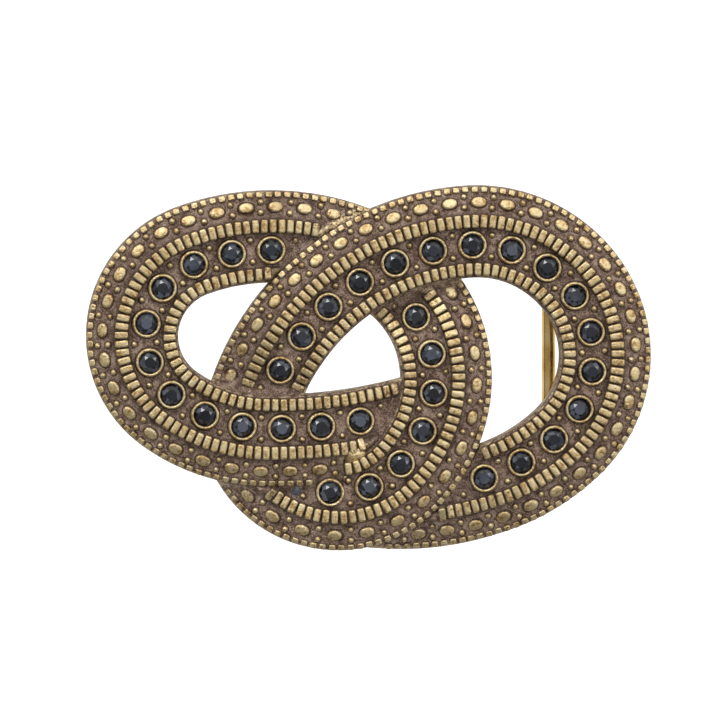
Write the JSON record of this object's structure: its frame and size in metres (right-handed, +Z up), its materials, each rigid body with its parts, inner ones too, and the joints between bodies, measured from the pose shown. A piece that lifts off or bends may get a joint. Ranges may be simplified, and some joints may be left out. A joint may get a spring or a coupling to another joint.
{
  "type": "belt buckle",
  "caption": "Plate belt buckle cast as an alternating knot of three toothed and beaded bands, set with black glass stones, with a swinging wire bail and a strap stud at the back.",
  "frame": {"origin": "centre of the whole buckle's bounding box, stud and stones included", "axes": "front faces -Y, +X to the wearer's left as seen from the front (towards the bail), +Z up as worn"},
  "size_m": [0.09, 0.0126, 0.058],
  "materials": {
    "antique_brass": "antique, dark granular patina in the recesses, rubbed bright on the raised work",
    "polished_brass": "polished wire",
    "stud_brass": "satin, lightly worn",
    "black_glass": "jet black, faceted and polished"
  },
  "bodies": {
    "buckle": {"knot_casting": "antique_brass", "belt_stud": "stud_brass", "stone_01": "black_glass", "stone_02": "black_glass", "stone_03": "black_glass", "stone_04": "black_glass", "stone_05": "black_glass", "stone_06": "black_glass", "stone_07": "black_glass", "stone_08": "black_glass", "stone_09": "black_glass", "stone_10": "black_glass", "stone_11": "black_glass", "stone_12": "black_glass", "stone_13": "black_glass", "stone_14": "black_glass", "stone_15": "black_glass", "stone_16": "black_glass", "stone_17": "black_glass", "stone_18": "black_glass", "stone_19": "black_glass", "stone_20": "black_glass", "stone_21": "black_glass", "stone_22": "black_glass", "stone_23": "black_glass", "stone_24": "black_glass", "stone_25": "black_glass", "stone_26": "black_glass", "stone_27": "black_glass", "stone_28": "black_glass", "stone_29": "black_glass", "stone_30": "black_glass", "stone_31": "black_glass", "stone_32": "black_glass", "stone_33": "black_glass", "stone_34": "black_glass", "stone_35": "black_glass"},
    "bail": {"bail": "polished_brass"}
  },
  "joints": [
    {"name": "bail_hinge", "type": "hinge", "parent": "buckle", "child": "bail", "pos_m": [0.0199, -0.00019, 0.00122], "axis": [0, 0, 1], "range_deg": [0, 180]}
  ]
}
